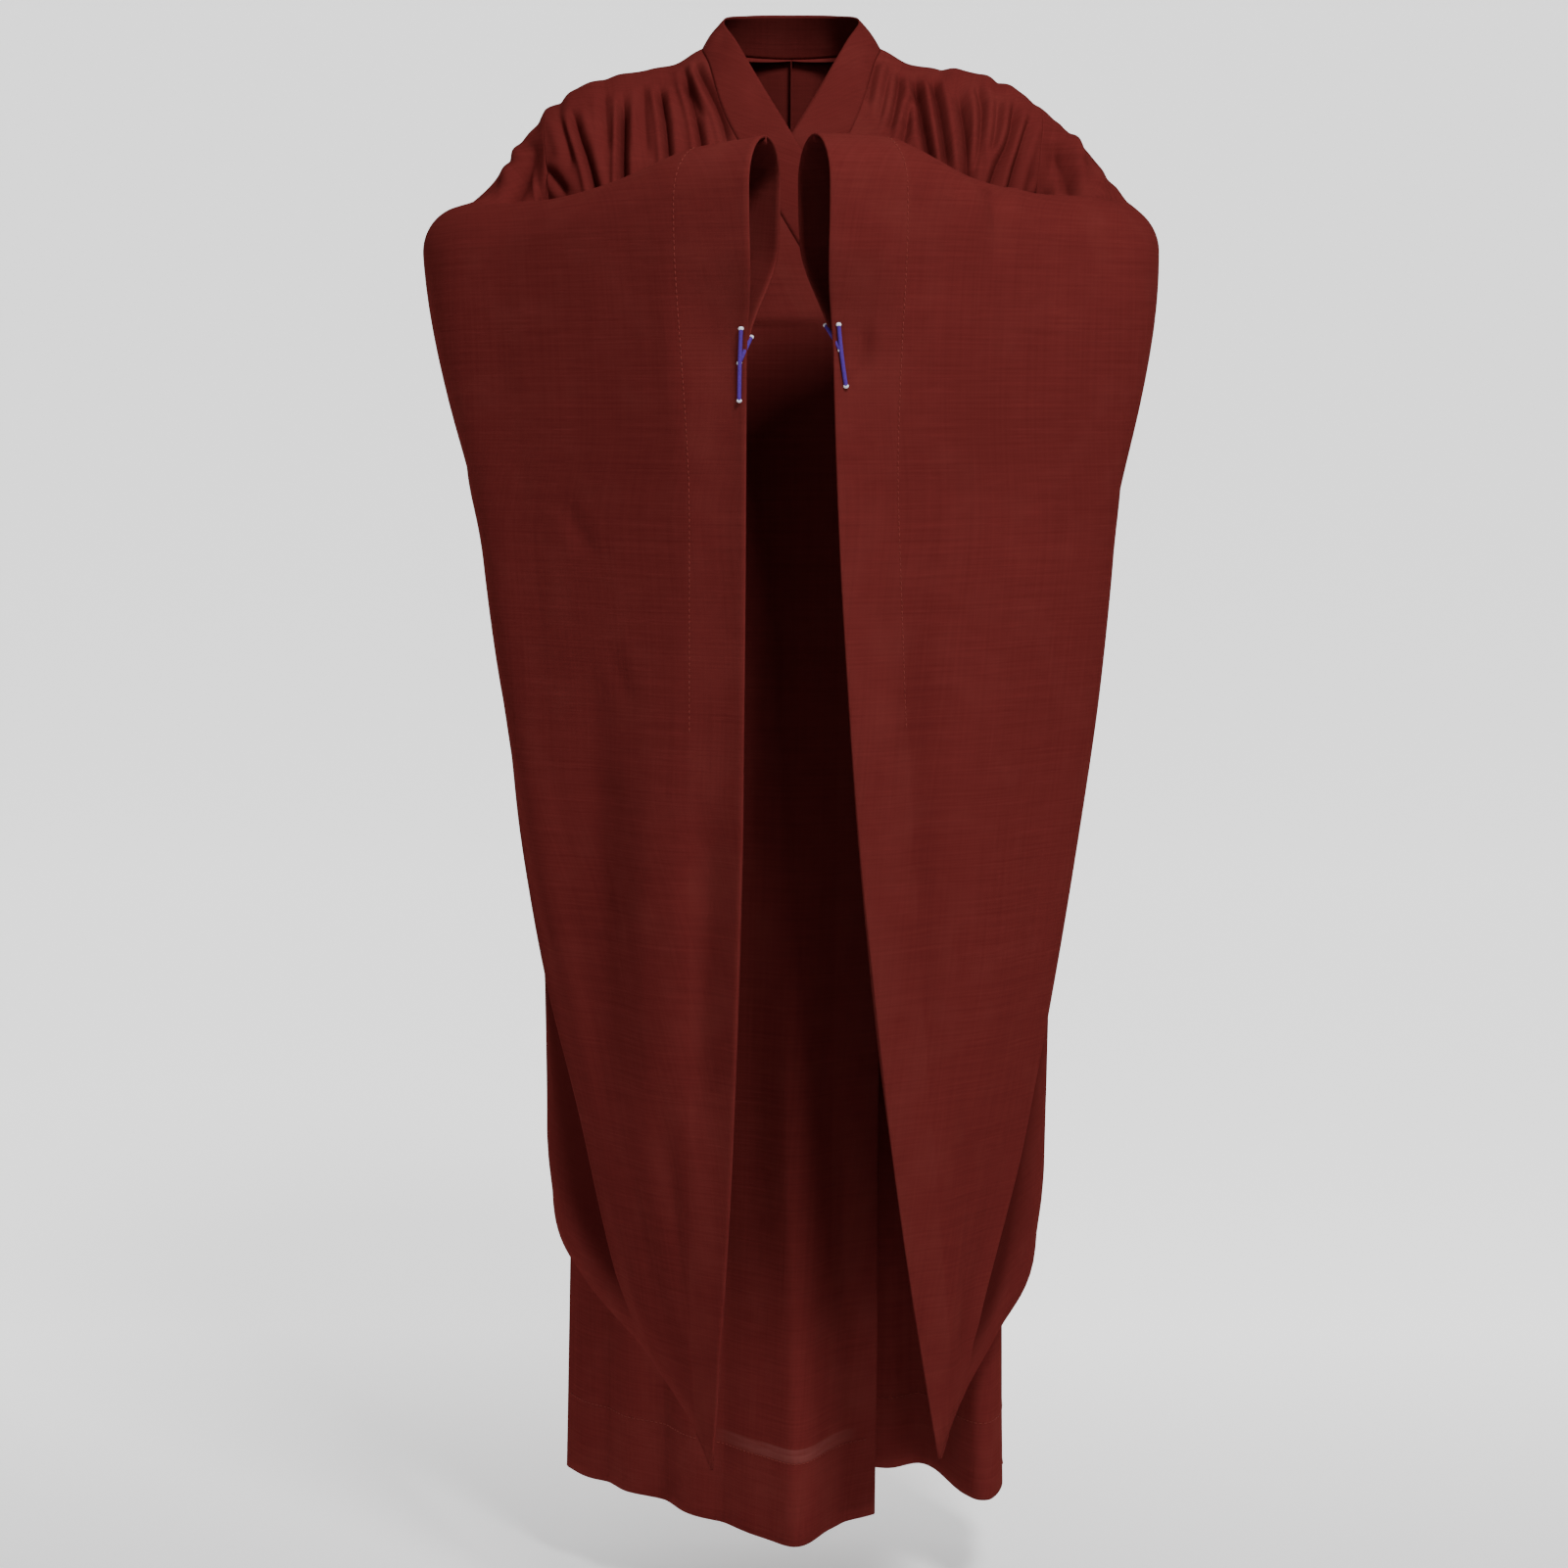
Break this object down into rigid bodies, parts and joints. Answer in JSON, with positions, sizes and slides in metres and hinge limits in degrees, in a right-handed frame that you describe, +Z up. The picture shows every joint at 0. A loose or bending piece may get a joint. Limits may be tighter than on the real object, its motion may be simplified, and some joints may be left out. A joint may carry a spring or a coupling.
{
  "type": "buddhist monk robe",
  "caption": "Long crossover robe with a V collar band and deep hanging bag sleeves, hollow, in the form it has when worn with the hands clasped in front",
  "frame": {"origin": "between the shoulders at the base of the neck, where the wearer carries the robe", "axes": "+Z up, the front faces -Y, the wearer's left is at +X"},
  "size_m": [0.6728, 0.5673, 1.4316],
  "materials": {
    "robe_cloth": "thin matt maroon plain weave with faint horizontal slubs",
    "band_cloth": "the same maroon cloth, folded double"
  },
  "bodies": {
    "root": {"back_left": "robe_cloth", "back_right": "robe_cloth", "collar_band": "band_cloth", "front_outer": "robe_cloth", "front_under": "robe_cloth", "sleeve_left_inner": "robe_cloth", "sleeve_left_outer": "robe_cloth", "sleeve_right_inner": "robe_cloth", "sleeve_right_outer": "robe_cloth"}
  },
  "joints": []
}
